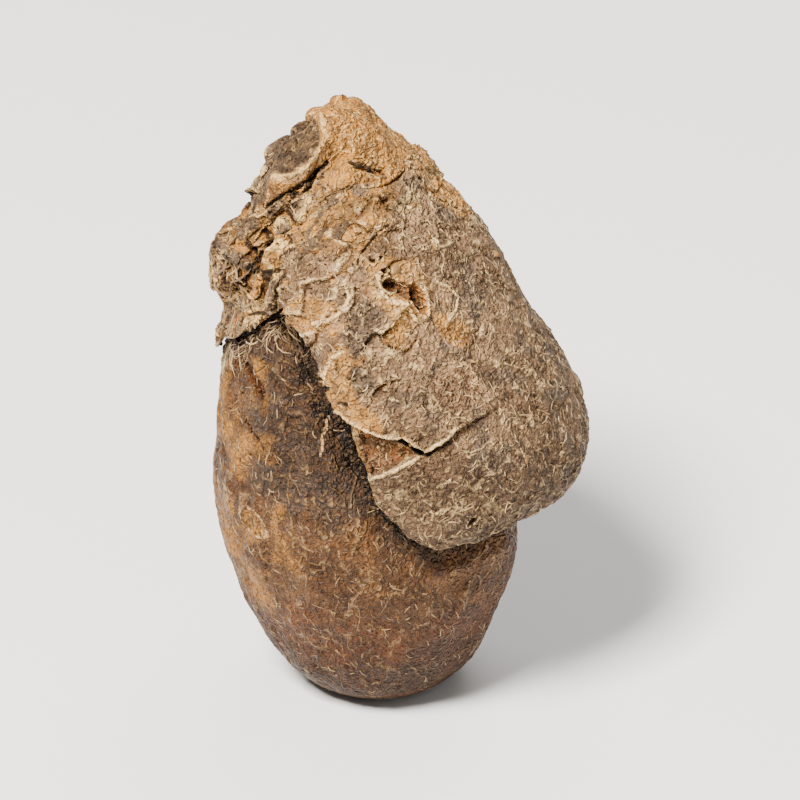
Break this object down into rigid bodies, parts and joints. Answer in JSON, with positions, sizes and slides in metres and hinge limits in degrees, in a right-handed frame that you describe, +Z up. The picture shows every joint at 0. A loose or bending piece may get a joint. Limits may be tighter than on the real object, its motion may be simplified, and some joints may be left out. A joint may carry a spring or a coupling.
{
  "type": "dried lily bulb",
  "caption": "Whole dried lily bulb that stands on its rounded end: a round inner scale, a thick outer scale clasping its front and right side, and a crusted root plate on its upper end.",
  "frame": {"origin": "middle of the small flat spot on the rounded end that the bulb stands on", "axes": "+Z up, along the bulb towards its root plate; -Y is the broad face that shows both scales; +X is the side that the outer scale clasps"},
  "size_m": [0.0272, 0.025, 0.044],
  "materials": {
    "inner_flesh": "matte reddish brown dried flesh with short pale fibres",
    "outer_skin": "matte grey-brown papery skin with tan torn edges",
    "root_crust": "rough golden tan crust with dark cracks"
  },
  "bodies": {
    "root": {"inner_scale": "inner_flesh", "outer_scale": "outer_skin", "root_plate": "root_crust"}
  },
  "joints": []
}
